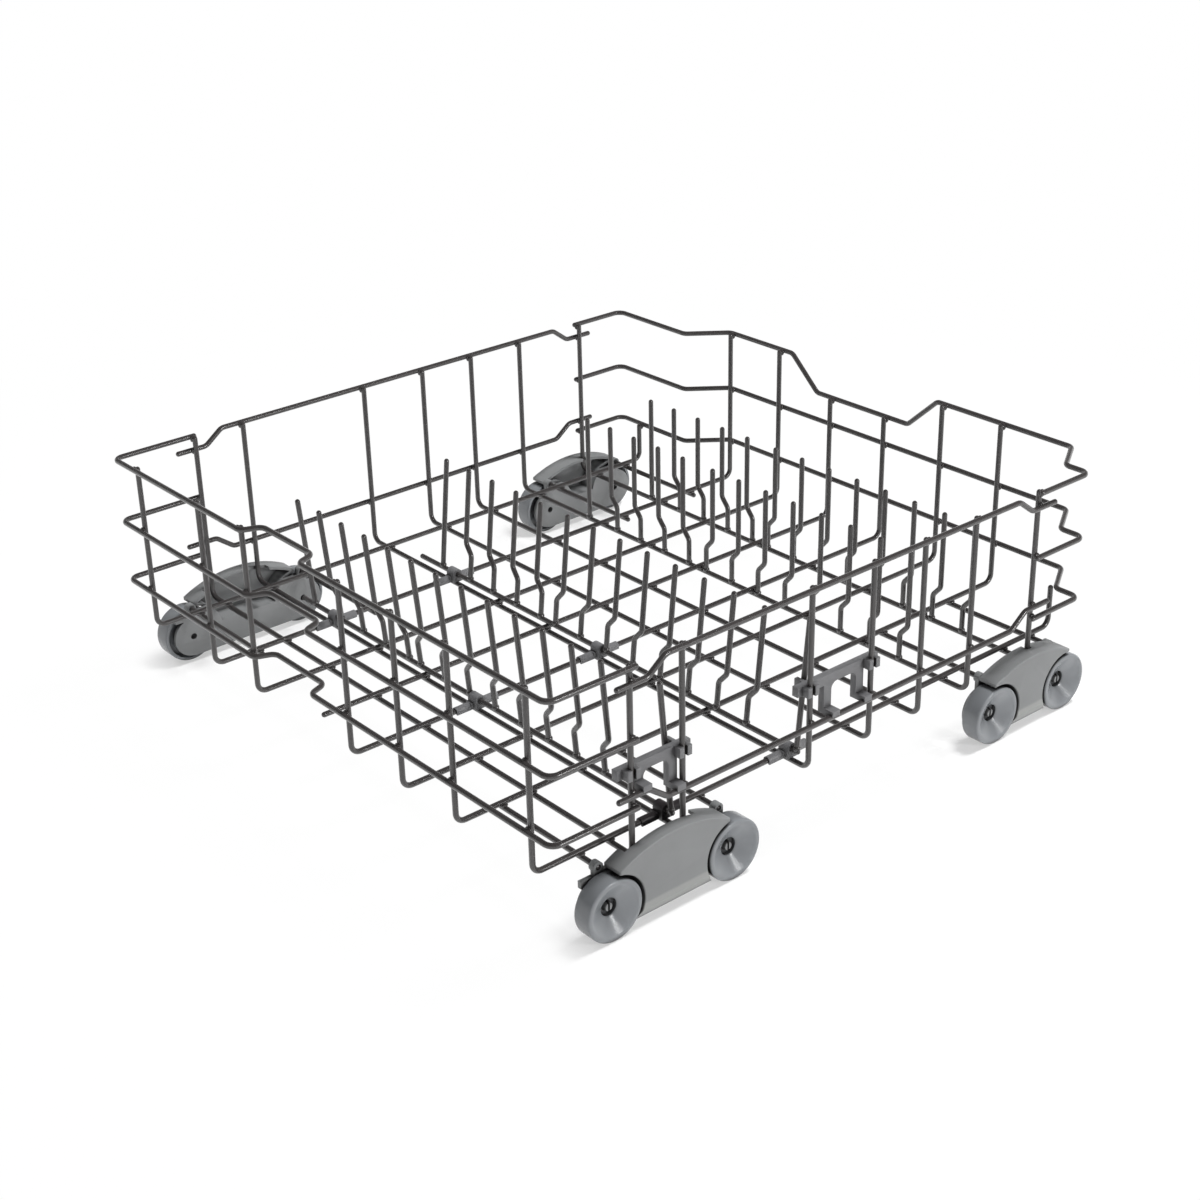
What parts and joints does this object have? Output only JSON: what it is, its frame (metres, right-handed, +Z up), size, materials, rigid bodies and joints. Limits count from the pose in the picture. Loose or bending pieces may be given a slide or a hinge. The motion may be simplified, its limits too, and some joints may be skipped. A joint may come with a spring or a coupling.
{
  "type": "lower dishwasher basket",
  "caption": "Lower dishwasher basket of dark coated wire with kinked plate tines, folding tine rows, grey side latches and roller bogies at the corners.",
  "frame": {"origin": "on the ground under the middle of the basket", "axes": "+X to the right wall with the latches, +Y to the dipped front wall, +Z up"},
  "size_m": [0.52, 0.527, 0.1805],
  "materials": {
    "wire": "satin dark grey-brown polymer coating",
    "bogie": "moulded mid-grey plastic, fine matt",
    "roller": "moulded blue-grey plastic, slight sheen",
    "clip": "moulded grey plastic",
    "dark_clip": "moulded black plastic"
  },
  "bodies": {
    "basket": {"bogie_front_left": "bogie", "bogie_front_right": "bogie", "bogie_rear_left": "bogie", "bogie_rear_right": "bogie", "cross_wire_1": "wire", "cross_wire_2": "wire", "cross_wire_3": "wire", "cross_wire_4": "wire", "cross_wire_5": "wire", "cross_wire_6": "wire", "cross_wire_7": "wire", "front_rail_low": "wire", "front_rail_mid": "wire", "front_rail_top": "wire", "latch_middle": "clip", "latch_rear": "clip", "long_wire_1": "wire", "long_wire_2": "wire", "long_wire_3": "wire", "long_wire_4": "wire", "long_wire_5": "wire", "long_wire_6": "wire", "long_wire_7": "wire", "long_wire_8": "wire", "pivot_clip_middle_1": "clip", "pivot_clip_middle_2": "clip", "pivot_clip_middle_3": "clip", "pivot_clip_rear_1": "clip", "pivot_clip_rear_2": "clip", "pivot_clip_rear_3": "dark_clip", "rear_rail_low": "wire", "rear_rail_mid": "wire", "rear_rail_top": "wire", "roller_wires_front_left": "wire", "roller_wires_front_right": "wire", "roller_wires_rear_left": "wire", "roller_wires_rear_right": "wire", "side_wire_low_left": "wire", "side_wire_low_right": "wire", "side_wire_top_left": "wire", "side_wire_top_right": "wire", "tine_row_front": "wire", "tine_row_second": "wire"},
    "middle_row": {"fold_row_middle": "wire"},
    "rear_row": {"fold_row_rear": "wire"},
    "roller_front_left_1": {"roller_front_left_1": "roller"},
    "roller_front_left_2": {"roller_front_left_2": "roller"},
    "roller_front_right_1": {"roller_front_right_1": "roller"},
    "roller_front_right_2": {"roller_front_right_2": "roller"},
    "roller_rear_left_1": {"roller_rear_left_1": "roller"},
    "roller_rear_left_2": {"roller_rear_left_2": "roller"},
    "roller_rear_right_1": {"roller_rear_right_1": "roller"},
    "roller_rear_right_2": {"roller_rear_right_2": "roller"}
  },
  "joints": [
    {"name": "middle_row_fold", "type": "hinge", "parent": "basket", "child": "middle_row", "pos_m": [0, -0.0423, 0.05432], "axis": [-1, 0, 0], "range_deg": [0, 80]},
    {"name": "rear_row_fold", "type": "hinge", "parent": "basket", "child": "rear_row", "pos_m": [0, -0.1539, 0.05432], "axis": [1, 0, 0], "range_deg": [0, 80]},
    {"name": "roller_front_left_1_spin", "type": "hinge", "parent": "basket", "child": "roller_front_left_1", "pos_m": [-0.25275, 0.137, 0.0218], "axis": [1, 0, 0], "continuous": true},
    {"name": "roller_front_left_2_spin", "type": "hinge", "parent": "basket", "child": "roller_front_left_2", "pos_m": [-0.25275, 0.2118, 0.0218], "axis": [1, 0, 0], "continuous": true},
    {"name": "roller_front_right_1_spin", "type": "hinge", "parent": "basket", "child": "roller_front_right_1", "pos_m": [0.25275, 0.137, 0.0218], "axis": [1, 0, 0], "continuous": true},
    {"name": "roller_front_right_2_spin", "type": "hinge", "parent": "basket", "child": "roller_front_right_2", "pos_m": [0.25275, 0.2118, 0.0218], "axis": [1, 0, 0], "continuous": true},
    {"name": "roller_rear_left_1_spin", "type": "hinge", "parent": "basket", "child": "roller_rear_left_1", "pos_m": [-0.25275, -0.22, 0.0218], "axis": [1, 0, 0], "continuous": true},
    {"name": "roller_rear_left_2_spin", "type": "hinge", "parent": "basket", "child": "roller_rear_left_2", "pos_m": [-0.25275, -0.1195, 0.0218], "axis": [1, 0, 0], "continuous": true},
    {"name": "roller_rear_right_1_spin", "type": "hinge", "parent": "basket", "child": "roller_rear_right_1", "pos_m": [0.25275, -0.22, 0.0218], "axis": [1, 0, 0], "continuous": true},
    {"name": "roller_rear_right_2_spin", "type": "hinge", "parent": "basket", "child": "roller_rear_right_2", "pos_m": [0.25275, -0.1195, 0.0218], "axis": [1, 0, 0], "continuous": true}
  ]
}
